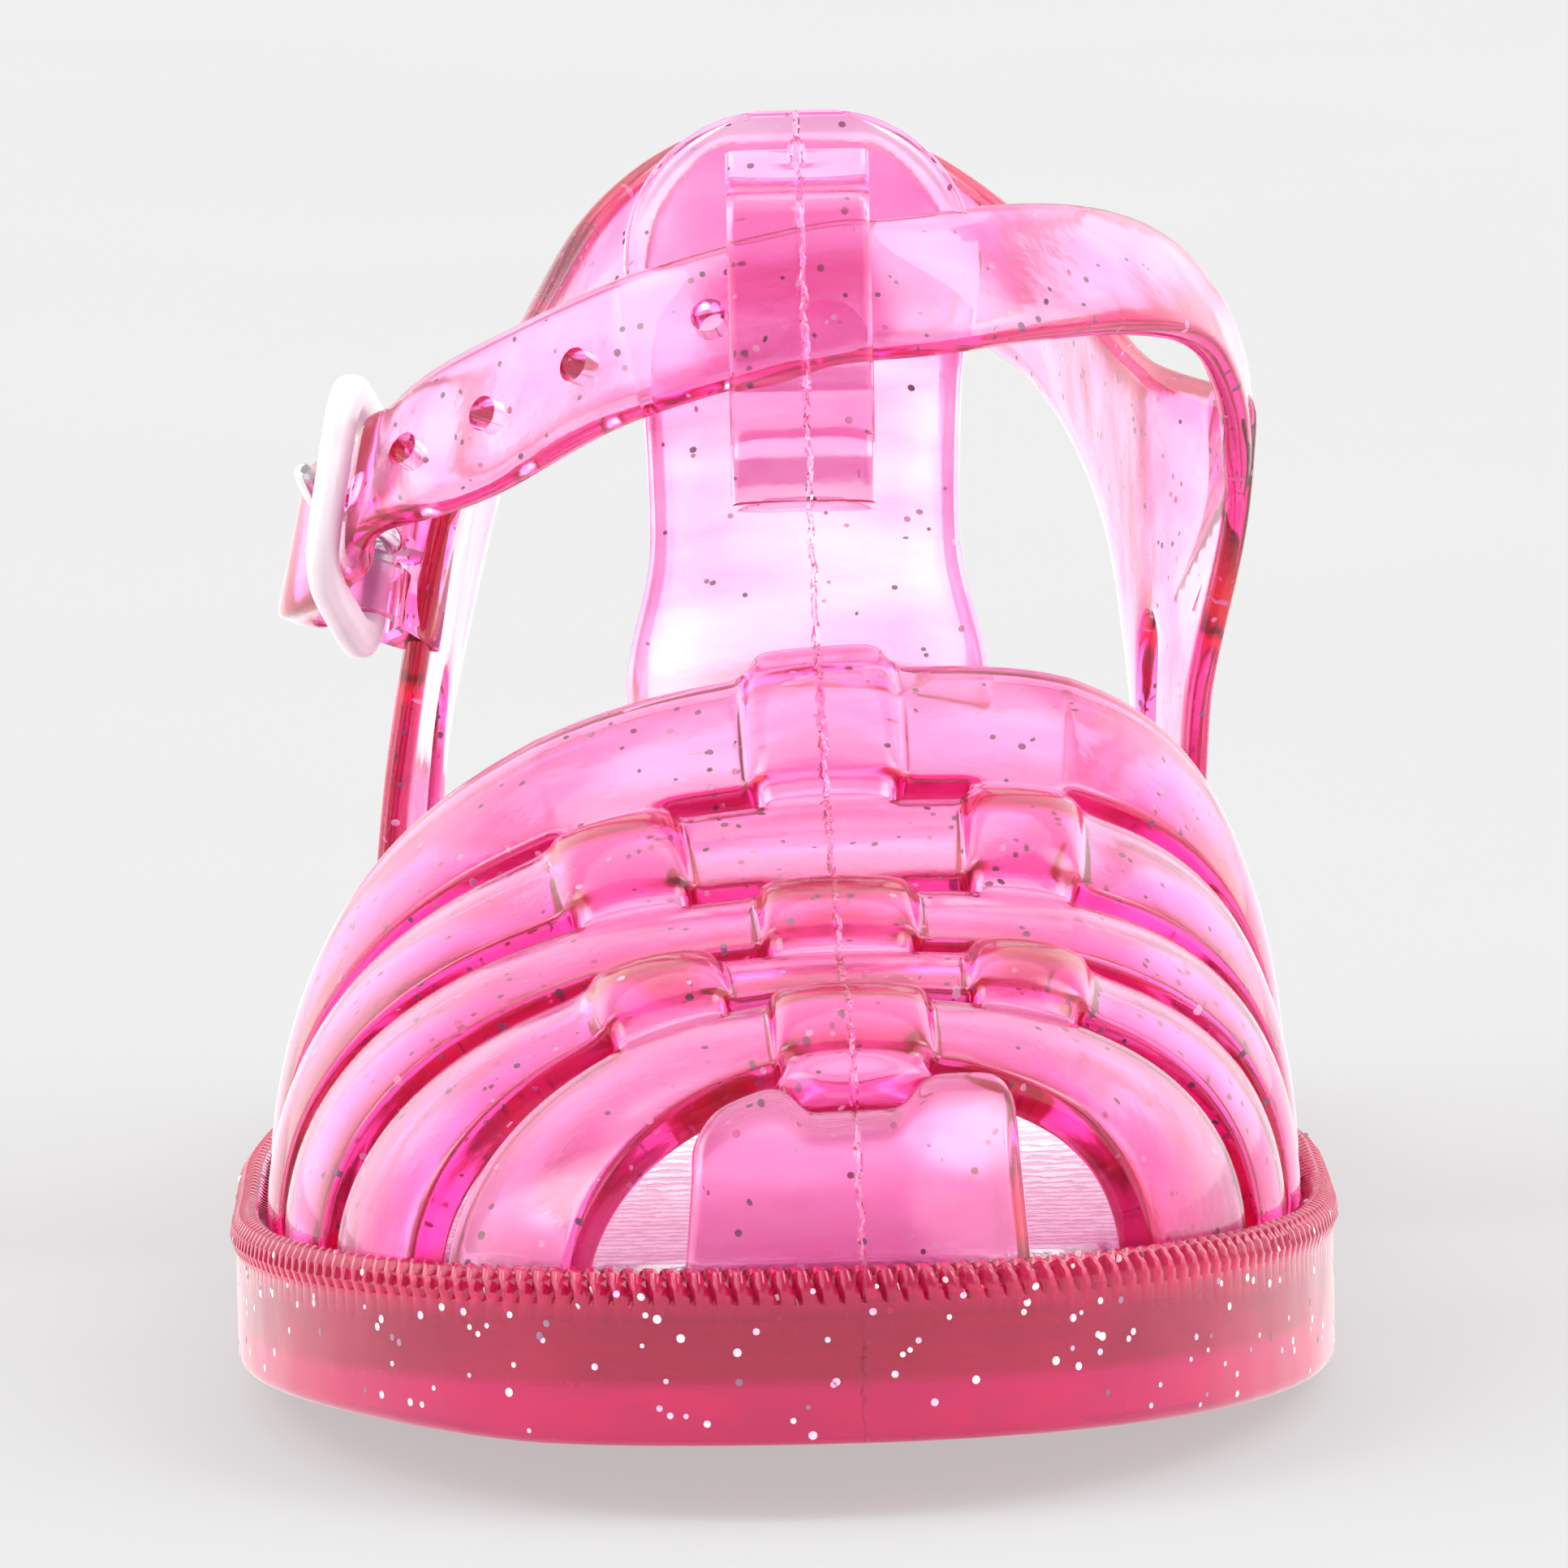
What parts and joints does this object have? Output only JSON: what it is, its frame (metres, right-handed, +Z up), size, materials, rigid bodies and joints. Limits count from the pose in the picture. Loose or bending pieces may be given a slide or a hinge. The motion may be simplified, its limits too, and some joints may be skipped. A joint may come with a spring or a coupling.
{
  "type": "child's jelly fisherman sandal",
  "caption": "Child's moulded jelly fisherman sandal for the right foot, with a woven toe cage, a tongue with a strap loop, a heel collar and a buckled ankle strap on a flat ribbed sole.",
  "frame": {"origin": "middle of the shoe's length and breadth on the floor", "axes": "+Z up, -Y towards the toe, +X towards the inner side of the right foot"},
  "size_m": [0.0745, 0.186, 0.0826],
  "materials": {
    "sole": "clear crimson soft PVC with glitter, glossy",
    "insole": "frosted pink footbed",
    "upper": "clear pink soft PVC with glitter, glossy",
    "buckle_frame": "milky white plastic",
    "buckle_prong": "polished steel"
  },
  "bodies": {
    "root": {"sole": "sole", "insole": "insole", "upper": "upper", "buckle_frame": "buckle_frame", "buckle_prong": "buckle_prong"}
  },
  "joints": []
}
